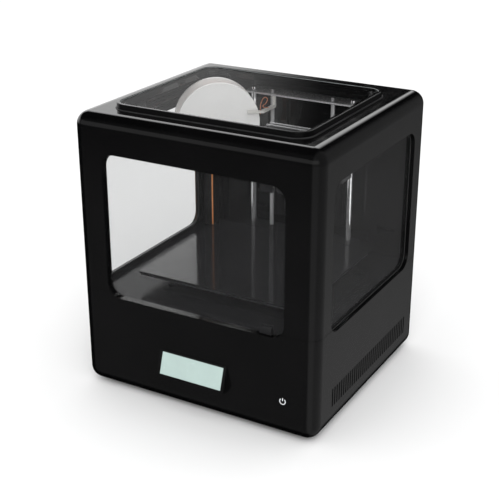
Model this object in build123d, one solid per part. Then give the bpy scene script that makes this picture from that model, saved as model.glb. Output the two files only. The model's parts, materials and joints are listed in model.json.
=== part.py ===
from build123d import *
import os
from math import cos, radians, sin

# An enclosed desktop 3-D printer: a gloss black housing with glazed front, sides and top,
# a bed that rises on four vertical rods and a print head on a crossed gantry.
# Millimetres. +Z is up and -Y is the front. Everything is drawn about the middle of the
# housing on the ground; FRAME_SHIFT_Y then puts the origin under the middle of the whole
# outline, which the display makes longer at the front.
FRAME_SHIFT_Y = 7.6

# Housing
WIDTH = 460.0
DEPTH = 427.0
FOOT_HEIGHT = 5.0
FOOT_X = 185.0
FOOT_Y = 168.0
FOOT_RADIUS = 13.0
BODY_TOP = 504.0
EDGE_RADIUS = 24.0
WALL = 4.0
SEAM_Z = 191.0
FLOOR_TOP = 174.0
FLOOR_LOW = 170.0
HALF_WIDTH = WIDTH / 2
HALF_DEPTH = DEPTH / 2
INNER_X = HALF_WIDTH - WALL
INNER_Y = HALF_DEPTH - WALL
INNER_TOP = BODY_TOP - WALL
BAY_FLOOR = 10.5
BASE_OPENING_X = 320.0
BASE_OPENING_Y = 290.0
BASE_OPENING_RADIUS = 12.0
PLATE_SHEET = 1.5
PLATE_LAP = 8.0
SEAM_GROOVE = 0.8
SCREW_RADIUS = 1.5
SCREW_HEAD_RADIUS = 3.0
SCREW_HEAD_HEIGHT = 1.6
SHANK_GRIP = 2.5

# Windows
WINDOW_LOW = 182.5
WINDOW_HIGH = 440.5
WINDOW_RADIUS = 25.0
FRONT_WINDOW_HALF = 171.5
SIDE_WINDOW_HALF = 163.0
WINDOW_RIM = 8.0
SIDE_RECESS = 8.0
FRONT_REVEAL = 13.0
PANE_THICKNESS = 3.0
PANE_LAP = 6.0

# Door, a pane that turns on two pins at its right end
DOOR_RECESS = 7.7
DOOR_THICKNESS = 4.0
DOOR_GAP = 1.2
DOOR_AXIS_X = 135.0
DOOR_AXIS_Y = -HALF_DEPTH + DOOR_RECESS + DOOR_THICKNESS / 2
PIVOT_RADIUS = 2.5
RUNNING = 0.05
MOVING_GAP = 0.3
PIVOT_DEPTH = 7.0
SHOE_X = 22.0
SHOE_Y = 8.0
SHOE_Z = 14.0
SHOE_SEAT = 6.0

# Lid on the top
LID_X = 364.0
LID_Y = 312.0
LID_CENTRE_Y = -14.0
LID_HEIGHT = 10.4
LID_RADIUS = 30.0
LID_RIM = 5.5
LID_LEDGE = 10.0
LID_LIP = 3.0
LID_GLASS_LOW = BODY_TOP + LID_HEIGHT - 4.4
LID_GLASS_THICKNESS = 3.0

# Bed lift
Z_ROD_X = 102.5
Z_SCREW_X = 62.5
Z_AXIS_Y = 177.0
Z_ROD_RADIUS = 5.0
Z_SCREW_RADIUS = 4.0
Z_ROD_LOW = 154.0
Z_ROD_TOP = 475.0
MOTOR_BOSS_RADIUS = 11.0
PLATE_X = 320.0
PLATE_FRONT = -140.0
PLATE_BACK = 150.0
PLATE_TOP = 204.0
PLATE_THICKNESS = 4.0
HEATER_THICKNESS = 3.0
HEATER_LOW = PLATE_TOP - PLATE_THICKNESS - HEATER_THICKNESS
CARRIER_LOW = 183.0
BEAM_TOP = PLATE_TOP
BEAM_SKIN = 2.0
BEAM_FRONT = PLATE_BACK + 0.4
Z_TOP_BRACKET = 465.0
BRACKET_FRONT = Z_AXIS_Y - 11.0
LINEAR_BEARING_RADIUS = 9.5
NUT_RADIUS = 5.1
BED_POSTS = [(-118, -95), (118, -95), (-118, 135), (118, 135)]

# Gantry and print head
GANTRY_Z = 470.0
GANTRY_Y = -62.0
X_ROD_GAP = 11.5
X_ROD_RADIUS = 3.0
Y_ROD_X = 205.0
Y_ROD_RADIUS = 4.0
BELT_WIDTH = 6.0
BELT_THICKNESS = 1.4
PULLEY_RADIUS = 6.0
BELT_CLEARANCE = 0.3
Y_BELT_X = 218.0
Y_SHAFT_Y = -186.0
Y_IDLER_Y = 182.0
Y_ROD_FRONT = -176.0
Y_ROD_BACK = 190.0
BLOCK_IN = 196.0
BLOCK_OUT = 213.0
BLOCK_HALF = 14.0
CLAMP_OUT = 223.5
Y_MOTOR_X = 184.0
X_ROD_END = 199.5
X_BELT_Z = 458.0
X_MOTOR_X = 182.0
BRACKET_LOW = 446.0
BRACKET_HIGH = 449.0
X_IDLER_X = -180.0
SHAFT_RADIUS = 2.5
MOTOR_SIZE = 42.0
HOTEND_Y = GANTRY_Y - 33.0
NOZZLE_TIP = 342.6
DRIVE_AXIS_X = -6.4
DRIVE_AXIS_Z = 415.0
EXTRUDER_LOW = 394.0
EXTRUDER_HIGH = 436.0
HEAD_FRONT = GANTRY_Y - 45.0
HEAD_BACK = GANTRY_Y - 19.0
HEAD_PLATE_LOW = 362.0
CARRIAGE_LOW = 452.0
CARRIAGE_TOP = 484.0
X_BUSH_RADIUS = 4.6
X_BUSH_LENGTH = 14.0
HEAD_X = 136.0
CARRIAGE_LEFT = -79.0
CARRIAGE_RIGHT = 18.0
CARRIAGE_HALF = 15.0
HEAD_PLATE_HALF = 22.0
LEVER_X = 13.0
LEVER_Z = 402.0
LEVER_PIN_RADIUS = 2.0
FILAMENT_RADIUS = 0.875
HEAT_BLOCK_LOW = 347.0
HEAT_BLOCK_HIGH = 358.0
SINK_LOW = 363.0

# Filament spool on a slanting spindle in the rear left corner
SPOOL_TURN = 40.0
SPOOL_X = -119.0
SPOOL_Y = 74.0
SPOOL_Z = 425.0
SPOOL_RADIUS = 77.0
SPOOL_WIDTH = 45.0
SPOOL_FLANGE = 3.0
BARREL_RADIUS = 28.0
WINDING_RADIUS = 58.0
SPINDLE_RADIUS = 16.0
POST_X = -208.0
POST_Y = 190.0
POST_SIZE = 22.0
POST_TOP = 455.0

# Guide bar for the filament, in the spool's own frame: across, up and out from the near flange
GUIDE_NEAR = 53.0
GUIDE_FAR = 84.0
GUIDE_LOW = 18.0
GUIDE_EYE = 77.0
FILAMENT_ROUTE = [
    (77, 16, 4),
    (77, 26, 4),
    (78, 38, 4),
    (84, 49, 5),
    (91, 45, 7),
    (86, 36, 9),
    (79, 33, 10),
    (84, 29, 11),
    (91, 30, 11),
]

# Control panel
DISPLAY_TILT = 17.6
DISPLAY_X = 132.0
DISPLAY_SLANT = 47.0
DISPLAY_LOW_Z = 63.0
DISPLAY_TOP_OUT = 1.0
SCREEN_X = 121.0
SCREEN_SLANT = 39.5
SCREEN_RECESS = 1.2
SCREEN_LAP = 4.0
BUTTON_X = 170.8
BUTTON_Z = 71.5
BUTTON_RADIUS = 10.0
BUTTON_TRAVEL = 1.5
BUTTON_REACH = 6.0
BOARD_STANDOFF = 14.0
BOARD_SHEET = 1.6

# Vents
VENT_COUNT = 36
VENT_PITCH = 8.8
VENT_WIDTH = 4.2
VENT_LOW = 45.0
VENT_HIGH = 79.0
VENT_CENTRE_Y = 6.0

# Rear panel
REAR_X = 230.0
REAR_LOW = 32.0
REAR_HIGH = 142.0
INLET_X = 80.0
INLET_Z = 87.0
INLET_HALF_X = 15.0
INLET_HALF_Z = 24.0
SOCKET_Z = 75.0
SWITCH_Z = 99.0
ROCKER_TILT = 9.0
ROCKER_AXIS_DEPTH = 5.0
ROCKER_PIN_RADIUS = 1.5


def box_between(x_low, x_high, y_low, y_high, z_low, z_high):
    """A box given by its six faces."""
    size = Box(x_high - x_low, y_high - y_low, z_high - z_low)
    return Pos((x_low + x_high) / 2, (y_low + y_high) / 2, (z_low + z_high) / 2) * size


def upright(x, y, z_low, z_high, radius):
    """A vertical cylinder."""
    return Pos(x, y, (z_low + z_high) / 2) * Cylinder(radius, z_high - z_low)


def along_x(x_low, x_high, y, z, radius):
    """A cylinder along X."""
    return Pos((x_low + x_high) / 2, y, z) * Rot(0, 90, 0) * Cylinder(radius, x_high - x_low)


def along_y(x, y_low, y_high, z, radius):
    """A cylinder along Y."""
    return Pos(x, (y_low + y_high) / 2, z) * Rot(90, 0, 0) * Cylinder(radius, y_high - y_low)


def slab(x_size, y_size, z_low, z_high, radius, centre_x=0.0, centre_y=0.0):
    """A flat plate with rounded vertical edges."""
    outline = RectangleRounded(x_size, y_size, radius)
    return Pos(centre_x, centre_y, z_low) * extrude(outline, z_high - z_low)


def lid_slab(x_size, y_size, z_low, z_high, radius):
    """A flat plate centred on the lid."""
    return slab(x_size, y_size, z_low, z_high, radius, 0.0, LID_CENTRE_Y)


def facing_y(x_size, z_size, y_low, y_high, radius, centre_x=0.0, centre_z=0.0):
    """A rounded plate that stands across Y."""
    outline = RectangleRounded(x_size, z_size, radius)
    return Pos(centre_x, y_high, centre_z) * Rot(90, 0, 0) * extrude(outline, y_high - y_low)


def save(name, piece, shift_x=0.0):
    """Write one sub-part, a shape or a list of separate shapes, in the common frame."""
    shapes = piece if isinstance(piece, (list, ShapeList)) else [piece]
    shift = Location((shift_x, FRAME_SHIFT_Y, 0))
    solids = [solid.moved(shift) for shape in shapes for solid in shape.solids()]
    part = solids[0] if len(solids) == 1 else Compound(children=solids)
    part.label = name
    export_step(part, "parts/" + name + ".step")


# ---------------------------------------------------------------- housing


def front_window(y_low, y_high, grow=0.0):
    """The front window's outline as a prism, larger all round by grow."""
    width = 2 * (FRONT_WINDOW_HALF + grow)
    height = WINDOW_HIGH - WINDOW_LOW + 2 * grow
    middle = (WINDOW_LOW + WINDOW_HIGH) / 2
    return facing_y(width, height, y_low, y_high, WINDOW_RADIUS + grow, 0.0, middle)


def side_window(x_low, x_high, grow=0.0):
    """The right window's outline as a prism, larger all round by grow."""
    width = 2 * (SIDE_WINDOW_HALF + grow)
    height = WINDOW_HIGH - WINDOW_LOW + 2 * grow
    middle = (WINDOW_LOW + WINDOW_HIGH) / 2
    prism = facing_y(width, height, -x_high, -x_low, WINDOW_RADIUS + grow, 0.0, middle)
    return Rot(0, 0, 90) * prism


def housing_shell():
    """The whole outer casing with its window reveals, before it is split at the seam."""
    height = BODY_TOP - FOOT_HEIGHT
    middle = (BODY_TOP + FOOT_HEIGHT) / 2
    outer = Pos(0, 0, middle) * Box(WIDTH, DEPTH, height)
    outer = fillet(outer.edges(), EDGE_RADIUS)
    inner = Pos(0, 0, middle) * Box(WIDTH - 2 * WALL, DEPTH - 2 * WALL, height - 2 * WALL)
    inner = fillet(inner.edges(), EDGE_RADIUS - WALL)
    shell = outer - inner
    embed = WALL / 2
    shell += front_window(-HALF_DEPTH + embed, -HALF_DEPTH + FRONT_REVEAL, WINDOW_RIM)
    right_rim = side_window(HALF_WIDTH - SIDE_RECESS, HALF_WIDTH - embed, WINDOW_RIM)
    shell += [right_rim, mirror(right_rim, Plane.YZ)]
    shell -= front_window(-HALF_DEPTH - WALL, -HALF_DEPTH + 2 * FRONT_REVEAL)
    right_cut = side_window(HALF_WIDTH - 2 * SIDE_RECESS, HALF_WIDTH + WALL)
    shell -= [right_cut, mirror(right_cut, Plane.YZ)]
    bore = PIVOT_RADIUS + RUNNING
    shell -= upright(DOOR_AXIS_X, DOOR_AXIS_Y, WINDOW_LOW - PIVOT_DEPTH, WINDOW_LOW + 1, bore)
    shell -= upright(DOOR_AXIS_X, DOOR_AXIS_Y, WINDOW_HIGH - 1, WINDOW_HIGH + PIVOT_DEPTH, bore)
    return shell


def upper_housing(shell):
    """The hood: corner posts, window heads and the top with its opening."""
    above = box_between(-WIDTH, WIDTH, -DEPTH, DEPTH, SEAM_Z, BODY_TOP + WALL)
    hood = shell & above
    opening_x = LID_X - 2 * LID_LEDGE
    opening_y = LID_Y - 2 * LID_LEDGE
    opening_radius = LID_RADIUS - LID_LEDGE
    hood -= lid_slab(opening_x, opening_y, BODY_TOP - 2 * WALL, BODY_TOP + WALL, opening_radius)
    reveal = SEAM_GROOVE
    outer_ring = slab(WIDTH + 2 * WALL, DEPTH + 2 * WALL, SEAM_Z, SEAM_Z + reveal, EDGE_RADIUS)
    inner_ring = slab(WIDTH - 2 * reveal, DEPTH - 2 * reveal, SEAM_Z, SEAM_Z + reveal, EDGE_RADIUS - reveal)
    return hood - (outer_ring - inner_ring)


def vent_slots():
    """The row of upright cooling slots through the right wall."""
    slots = []
    for index in range(VENT_COUNT):
        y = VENT_CENTRE_Y + (index - (VENT_COUNT - 1) / 2) * VENT_PITCH
        slots.append(box_between(INNER_X - WALL, HALF_WIDTH + WALL, y - VENT_WIDTH / 2,
                                 y + VENT_WIDTH / 2, VENT_LOW, VENT_HIGH))
    return slots


def base_housing(shell):
    """The lower tub with vents, panel openings and the hole that the base plate closes."""
    below = box_between(-WIDTH, WIDTH, -DEPTH, DEPTH, 0, SEAM_Z)
    tub = shell & below
    slots = vent_slots()
    tub -= slots
    tub -= [mirror(slot, Plane.YZ) for slot in slots]
    tub -= slab(BASE_OPENING_X, BASE_OPENING_Y, 0, FOOT_HEIGHT + 2 * WALL, BASE_OPENING_RADIUS)
    outside = -HALF_DEPTH - WALL
    inside = -INNER_Y + WALL
    window_low = DISPLAY_LOW_Z + 4.0
    window_high = DISPLAY_LOW_Z + DISPLAY_SLANT - 7.0
    tub -= box_between(-SCREEN_X / 2, SCREEN_X / 2, outside, inside, window_low, window_high)
    tub -= along_y(BUTTON_X, outside, inside, BUTTON_Z, BUTTON_RADIUS + MOVING_GAP)
    edge = 6.0
    tub -= box_between(-REAR_X / 2 + edge, REAR_X / 2 - edge, INNER_Y - WALL, HALF_DEPTH + WALL,
                       REAR_LOW + edge, REAR_HIGH - edge)
    return tub - screw_holes()


def base_plate():
    """The steel plate that closes the underside, with cooling slots."""
    low = FOOT_HEIGHT + WALL
    high = low + PLATE_SHEET
    width = BASE_OPENING_X + 2 * PLATE_LAP
    plate = slab(width, BASE_OPENING_Y + 2 * PLATE_LAP, low, high, BASE_OPENING_RADIUS)
    slot_pitch = 14.0
    slot_half_x = 2.5
    slot_half_y = 60.0
    for index in range(-4, 5):
        x = index * slot_pitch
        plate -= box_between(x - slot_half_x, x + slot_half_x, -slot_half_y, slot_half_y, low - 1, high + 1)
    return plate - screw_holes()


def rubber_feet():
    """Four feet under the corners of the tub."""
    feet = []
    for x in (-FOOT_X, FOOT_X):
        for y in (-FOOT_Y, FOOT_Y):
            foot = upright(x, y, 0, FOOT_HEIGHT, FOOT_RADIUS)
            feet.append(chamfer(foot.edges().group_by(Axis.Z)[0], 1.0))
    return feet


def chamber_floor():
    """The gloss floor between the print chamber and the electronics bay."""
    floor = slab(2 * INNER_X - 1, 2 * INNER_Y - 1, FLOOR_LOW, FLOOR_TOP, EDGE_RADIUS - WALL)
    for x in (-Z_ROD_X, Z_ROD_X):
        floor += upright(x, Z_AXIS_Y, Z_ROD_LOW, FLOOR_LOW, 2 * Z_ROD_RADIUS)
        floor -= upright(x, Z_AXIS_Y, 0, BODY_TOP, Z_ROD_RADIUS)
    for x in (-Z_SCREW_X, Z_SCREW_X):
        floor -= upright(x, Z_AXIS_Y, 0, BODY_TOP, MOTOR_BOSS_RADIUS)
    return floor


def side_pane():
    """The fixed right window pane, bonded behind its reveal."""
    outer = HALF_WIDTH - SIDE_RECESS
    return side_window(outer - PANE_THICKNESS, outer, PANE_LAP)


# ---------------------------------------------------------------- door and lid


def door_pane():
    """The clear front pane, notched for its two pivot shoes."""
    front = -HALF_DEPTH + DOOR_RECESS
    pane = front_window(front, front + DOOR_THICKNESS, -DOOR_GAP)
    for edge, direction in ((WINDOW_LOW + DOOR_GAP, 1), (WINDOW_HIGH - DOOR_GAP, -1)):
        inner = edge + direction * SHOE_SEAT
        low, high = sorted((edge - direction, inner))
        pane -= box_between(DOOR_AXIS_X - SHOE_X / 2, DOOR_AXIS_X + SHOE_X / 2, front - 1,
                            front + DOOR_THICKNESS + 1, low, high)
    return pane


def door_pivots():
    """Two shoes that clamp the pane, each with a pivot pin into the frame."""
    shoes = []
    clear = 0.5
    for edge, direction in ((WINDOW_LOW, 1), (WINDOW_HIGH, -1)):
        near = edge + direction * clear
        far = near + direction * SHOE_Z
        seat = edge + direction * (DOOR_GAP + SHOE_SEAT)
        shoe = Box(SHOE_X, SHOE_Y, SHOE_Z)
        block = Pos(DOOR_AXIS_X, DOOR_AXIS_Y, (near + far) / 2) * shoe
        slot_low, slot_high = sorted((seat, far + direction))
        block -= box_between(DOOR_AXIS_X - SHOE_X, DOOR_AXIS_X + SHOE_X, DOOR_AXIS_Y - DOOR_THICKNESS / 2,
                             DOOR_AXIS_Y + DOOR_THICKNESS / 2, slot_low, slot_high)
        pin_low, pin_high = sorted((edge - direction * (PIVOT_DEPTH - 1.0), near + direction))
        block += upright(DOOR_AXIS_X, DOOR_AXIS_Y, pin_low, pin_high, PIVOT_RADIUS)
        shoes.append(block)
    return shoes


def lid_inset(inset, z_low, z_high):
    """The lid's outline as a flat plate, smaller all round by inset."""
    return lid_slab(LID_X - 2 * inset, LID_Y - 2 * inset, z_low, z_high, LID_RADIUS - inset)


def lid_frame():
    """The raised frame of the lift-off lid, with a lip that drops into the opening."""
    top = BODY_TOP + LID_HEIGHT
    frame = lid_inset(0.0, BODY_TOP, top)
    frame = fillet(frame.edges().group_by(Axis.Z)[-1], 1.5)
    frame -= lid_inset(LID_RIM, LID_GLASS_LOW, top + 1)
    lip_outside = LID_LEDGE + 0.5
    lip_inside = lip_outside + LID_LIP
    frame -= lid_inset(lip_inside, BODY_TOP - 1, top)
    lip = lid_inset(lip_outside, BODY_TOP - LID_LIP, BODY_TOP + 0.5)
    return frame + (lip - lid_inset(lip_inside, BODY_TOP - LID_LIP - 1, BODY_TOP + 1))


def lid_glass():
    """The clear pane held in the lid frame."""
    return lid_inset(LID_RIM + 0.1, LID_GLASS_LOW, LID_GLASS_LOW + LID_GLASS_THICKNESS)


# ---------------------------------------------------------------- control panel


def on_display(shape):
    """Place a shape drawn flat, facing up, on the tilted display face."""
    lift = DISPLAY_SLANT * cos(radians(DISPLAY_TILT)) / 2
    out = DISPLAY_TOP_OUT + DISPLAY_SLANT * sin(radians(DISPLAY_TILT)) / 2
    return Pos(0, -HALF_DEPTH - out, DISPLAY_LOW_Z + lift) * Rot(90 - DISPLAY_TILT, 0, 0) * shape


def display_bezel():
    """The wedge that stands out of the front and holds the screen."""
    depth = 40.0
    block = on_display(Pos(0, 0, -depth / 2) * Box(DISPLAY_X, DISPLAY_SLANT, depth))
    block &= box_between(-WIDTH, WIDTH, -HALF_DEPTH - depth, -HALF_DEPTH, 0, SEAM_Z)
    block -= on_display(Box(SCREEN_X, SCREEN_SLANT, 2 * SCREEN_RECESS))
    tunnel = Box(SCREEN_X - 2 * SCREEN_LAP, SCREEN_SLANT - 2 * SCREEN_LAP, depth)
    return block - on_display(Pos(0, 0, -depth / 2) * tunnel)


def display_screen():
    """The plain screen in the bezel."""
    thickness = 1.0
    gap = 0.2
    screen = Box(SCREEN_X - 2 * gap, SCREEN_SLANT - 2 * gap, thickness)
    return on_display(Pos(0, 0, thickness / 2 - SCREEN_RECESS) * screen)


def front_panel_board():
    """One circuit board with the display module and the switch behind the button."""
    front = -INNER_Y + BOARD_STANDOFF
    back = front + BOARD_SHEET
    board = box_between(-64, 184, front, back, 54, 112)
    board += box_between(-52, 52, -INNER_Y + 3, front, 68, 98)
    switch_half = 6.0
    switch_front = -INNER_Y + BUTTON_REACH + BUTTON_TRAVEL + MOVING_GAP
    board += box_between(BUTTON_X - switch_half, BUTTON_X + switch_half, switch_front, front,
                         BUTTON_Z - switch_half, BUTTON_Z + switch_half)
    chip_half = 6.0
    chip_height = 2.4
    for x in (-36, 0, 36, 130):
        board += box_between(x - chip_half, x + chip_half, back, back + chip_height, 74, 86)
    return board


def power_button():
    """The round push button, flush with the front."""
    cap = along_y(BUTTON_X, -HALF_DEPTH, -INNER_Y + BUTTON_REACH, BUTTON_Z, BUTTON_RADIUS)
    return cap + along_y(BUTTON_X, -INNER_Y + 2.4, -INNER_Y + 4.0, BUTTON_Z, BUTTON_RADIUS + 2)


# ---------------------------------------------------------------- electronics bay


def rear_panel():
    """The steel service panel on the back, with a cut for the inlet and a grille of slots."""
    face = INNER_Y
    near = face - WALL
    far = face + WALL
    middle = (REAR_LOW + REAR_HIGH) / 2
    plate = facing_y(REAR_X, REAR_HIGH - REAR_LOW, face - PLATE_SHEET, face, 4.0, 0.0, middle)
    plate -= box_between(INLET_X - INLET_HALF_X, INLET_X + INLET_HALF_X, near, far,
                         INLET_Z - INLET_HALF_Z, INLET_Z + INLET_HALF_Z)
    first_slot = -88.0
    slot_pitch = 9.0
    slot_half = 2.0
    slot_end = 20.0
    for index in range(9):
        x = first_slot + index * slot_pitch
        plate -= box_between(x - slot_half, x + slot_half, near, far,
                             REAR_LOW + slot_end, REAR_HIGH - slot_end)
    return plate - screw_holes()


def inlet_module():
    """The mains inlet and the frame of the rocker switch, one snap-in moulding."""
    face = INNER_Y
    lip = 2.0
    back = face - 20
    pocket = face - 14
    flange_x = 2 * (INLET_HALF_X + lip)
    flange_z = 2 * (INLET_HALF_Z + lip)
    flange = facing_y(flange_x, flange_z, face, face + lip, 3.0, INLET_X, INLET_Z)
    module = flange + box_between(INLET_X - INLET_HALF_X, INLET_X + INLET_HALF_X, back, face,
                                  INLET_Z - INLET_HALF_Z, INLET_Z + INLET_HALF_Z)
    for half_x, middle_z, half_z in ((12.0, SOCKET_Z, 8.0), (12.5, SWITCH_Z, 8.5)):
        module -= box_between(INLET_X - half_x, INLET_X + half_x, pocket, face + 5,
                              middle_z - half_z, middle_z + half_z)
    pin = Box(2, WALL + 10, 4)
    for x, z in ((0.0, 3.5), (-7.0, -3.0), (7.0, -3.0)):
        module += Pos(INLET_X + x, face - 8, SOCKET_Z + z) * pin
    for side in (-1, 1):
        low, high = sorted((SWITCH_Z + side * 7.5, SWITCH_Z + side * 9))
        module += upright(INLET_X, face - ROCKER_AXIS_DEPTH, low, high, ROCKER_PIN_RADIUS)
    return module


def switch_rocker():
    """The mains rocker on its side, drawn level and then tipped to its rest side."""
    face = INNER_Y
    axis_y = face - ROCKER_AXIS_DEPTH
    dish = 26.5
    rocker = box_between(INLET_X - 11, INLET_X + 11, face - 8, face + 1, SWITCH_Z - 8, SWITCH_Z + 8)
    rocker -= upright(INLET_X, face + dish, 0, BODY_TOP, dish)
    rocker -= upright(INLET_X, axis_y, 0, BODY_TOP, ROCKER_PIN_RADIUS + RUNNING)
    return rocker.rotate(Axis((INLET_X, axis_y, SWITCH_Z), (0, 0, 1)), ROCKER_TILT)


def power_supply():
    """The perforated metal supply that stands on the base plate."""
    inner_face = -90.0
    case = box_between(-190, inner_face, -60, 110, BAY_FLOOR, 60)
    case = fillet(case.edges().filter_by(Axis.Z), 2.0)
    rows = 3
    columns = 10
    for row in range(rows):
        for column in range(columns):
            y = -45 + column * 15
            case -= along_x(inner_face - 5, inner_face + 5, y, 24 + row * 11, 2.5)
    return case


def control_board():
    """The controller with its drivers, sockets and main chip, on four pillars."""
    low = 18.0
    high = low + BOARD_SHEET
    board = box_between(20, 170, -110, 10, low, high)
    for x in (28, 162):
        for y in (-102, 2):
            board += upright(x, y, BAY_FLOOR, low, 3.0)
    for index in range(5):
        x = 40 + index * 24
        board += box_between(x, x + 14, -40, -22, high, low + 10)
    for index in range(4):
        y = -80 + index * 20
        board += box_between(24, 34, y, y + 14, high, low + 12)
    return board + box_between(80, 96, -90, -74, high, low + 4)


def fan_rotor(x, y_low, y_high, z, radius, hub, blades):
    """A hub with slanted blades, turning about Y."""
    rotor = along_y(x, y_low, y_high, z, hub)
    middle = (y_low + y_high) / 2
    slant = 35.0
    sheet = 1.4
    depth = (y_high - y_low) * 0.8
    flat = Box(radius - hub + 1, sheet, depth)
    blade = Pos((hub + radius) / 2 - 0.5, 0, 0) * Rot(slant, 0, 0) * flat
    for index in range(blades):
        rotor += Pos(x, middle, z) * Rot(0, 360.0 * index / blades, 0) * blade
    return rotor


# ---------------------------------------------------------------- bed lift


def z_rods():
    """The two smooth guide rods of the bed, from the chamber floor to the upper bracket."""
    return [upright(x, Z_AXIS_Y, Z_ROD_LOW, Z_ROD_TOP, Z_ROD_RADIUS) for x in (-Z_ROD_X, Z_ROD_X)]


def z_upper_bracket():
    """The thin plate that ties the tops of the rods to the back wall."""
    sheet = 3.0
    half = Z_ROD_X + 15.5
    plate = box_between(-half, half, BRACKET_FRONT, INNER_Y, Z_TOP_BRACKET, Z_TOP_BRACKET + sheet)
    for x in (-Z_ROD_X, Z_ROD_X):
        plate -= upright(x, Z_AXIS_Y, 0, BODY_TOP, Z_ROD_RADIUS)
    for x in (-Z_SCREW_X, Z_SCREW_X):
        plate -= upright(x, Z_AXIS_Y, 0, BODY_TOP, Z_SCREW_RADIUS + RUNNING)
    return plate


def stepper(length):
    """A stepper motor body, shaft up, its mounting face at z = 0."""
    body = Pos(0, 0, -length / 2) * Box(MOTOR_SIZE, MOTOR_SIZE, length)
    body = chamfer(body.edges().filter_by(Axis.Z), 4.0)
    body -= Pos(0, 0, -length / 2) * Cylinder(SHAFT_RADIUS + RUNNING, length + 2)
    return body


def z_motors():
    """The two lift motors under the chamber floor."""
    return [Pos(x, Z_AXIS_Y, FLOOR_LOW) * stepper(38.0) for x in (-Z_SCREW_X, Z_SCREW_X)]


def lift_screw(x):
    """A lead screw made in one with its motor's shaft."""
    screw = upright(x, Z_AXIS_Y, FLOOR_LOW + 1, Z_ROD_TOP, Z_SCREW_RADIUS)
    return screw + upright(x, Z_AXIS_Y, FLOOR_LOW - 30, FLOOR_LOW + 1, SHAFT_RADIUS)


def bed_carrier():
    """The plate under the bed and, flush behind the bed, the beam that rides on the rods."""
    sheet = 3.0
    carrier = box_between(-130, 130, -110, BEAM_FRONT + 2, CARRIER_LOW, CARRIER_LOW + sheet)
    for x_low, x_high in ((-105, -10), (10, 105)):
        carrier -= box_between(x_low, x_high, -80, 120, 0, BODY_TOP)
    carrier += box_between(-122, 122, BEAM_FRONT, Z_AXIS_Y + 14, CARRIER_LOW, BEAM_TOP)
    seat = BEAM_TOP - BEAM_SKIN
    for x in (-Z_ROD_X, Z_ROD_X):
        carrier -= upright(x, Z_AXIS_Y, 0, seat, LINEAR_BEARING_RADIUS)
        carrier -= upright(x, Z_AXIS_Y, 0, BODY_TOP, Z_ROD_RADIUS + MOVING_GAP)
    for x in (-Z_SCREW_X, Z_SCREW_X):
        carrier -= upright(x, Z_AXIS_Y, 0, seat, NUT_RADIUS)
        carrier -= upright(x, Z_AXIS_Y, 0, BODY_TOP, Z_SCREW_RADIUS + MOVING_GAP)
    for x, y in BED_POSTS:
        carrier += upright(x, y, CARRIER_LOW, HEATER_LOW, 4.0)
    return carrier


def bed_bearings():
    """Two linear bearings in the carrier's beam."""
    bearings = []
    for x in (-Z_ROD_X, Z_ROD_X):
        sleeve = upright(x, Z_AXIS_Y, CARRIER_LOW, BEAM_TOP - BEAM_SKIN, LINEAR_BEARING_RADIUS)
        sleeve -= upright(x, Z_AXIS_Y, 0, BODY_TOP, Z_ROD_RADIUS + RUNNING)
        bearings.append(sleeve)
    return bearings


def lift_nuts():
    """Two brass nuts on the lead screws, each with its flange under the beam."""
    nuts = []
    flange = 3.5
    for x in (-Z_SCREW_X, Z_SCREW_X):
        nut = upright(x, Z_AXIS_Y, CARRIER_LOW, BEAM_TOP - BEAM_SKIN, NUT_RADIUS)
        nut += upright(x, Z_AXIS_Y, CARRIER_LOW - flange, CARRIER_LOW, 2 * NUT_RADIUS)
        nuts.append(nut - upright(x, Z_AXIS_Y, 0, BODY_TOP, Z_SCREW_RADIUS + RUNNING))
    return nuts


def heated_bed():
    """The aluminium heater plate."""
    high = PLATE_TOP - PLATE_THICKNESS
    middle = (PLATE_FRONT + PLATE_BACK) / 2
    return slab(PLATE_X - 4, PLATE_BACK - PLATE_FRONT - 4, HEATER_LOW, high, 5.0, 0.0, middle)


def build_plate():
    """The gloss glass plate that prints stick to."""
    middle = (PLATE_FRONT + PLATE_BACK) / 2
    low = PLATE_TOP - PLATE_THICKNESS
    plate = slab(PLATE_X, PLATE_BACK - PLATE_FRONT, low, PLATE_TOP, 6.0, 0.0, middle)
    return chamfer(plate.edges().group_by(Axis.Z)[-1], 0.6)


# ---------------------------------------------------------------- gantry


def y_rods():
    """The two rods along the side walls."""
    return [along_y(x, Y_ROD_FRONT, Y_ROD_BACK, GANTRY_Z, Y_ROD_RADIUS) for x in (-Y_ROD_X, Y_ROD_X)]


def corner_block(y_low, y_high):
    """A right-hand corner block, bored for its rod end."""
    top = INNER_TOP - EDGE_RADIUS + WALL
    block = box_between(BLOCK_IN, BLOCK_OUT, y_low, y_high, GANTRY_Z - BLOCK_HALF, top)
    block &= slab(2 * INNER_X, 2 * INNER_Y, 0, BODY_TOP, EDGE_RADIUS - WALL)
    return block - along_y(Y_ROD_X, Y_ROD_FRONT, Y_ROD_BACK, GANTRY_Z, Y_ROD_RADIUS)


def y_rod_blocks():
    """Four corner blocks: the front pair carry the cross shaft, the rear pair have idler pins."""
    front = corner_block(-INNER_Y, Y_ROD_FRONT + 12)
    front -= along_x(BLOCK_IN - 1, BLOCK_OUT + 1, Y_SHAFT_Y, GANTRY_Z, SHAFT_RADIUS + RUNNING)
    rear = corner_block(Y_ROD_BACK - 18, INNER_Y)
    rear += along_x(Y_ROD_X + Y_ROD_RADIUS, INNER_X - 1, Y_IDLER_Y, GANTRY_Z, SHAFT_RADIUS)
    return [front, rear, mirror(front, Plane.YZ), mirror(rear, Plane.YZ)]


def toothed_pulley(width):
    """A flanged pulley about its own Z axis, centred on the belt."""
    body = Cylinder(PULLEY_RADIUS, width)
    rim = Cylinder(PULLEY_RADIUS + 2.2, 1.0)
    return body + [Pos(0, 0, side * (width + 1.0) / 2) * rim for side in (-1, 1)]


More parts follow.
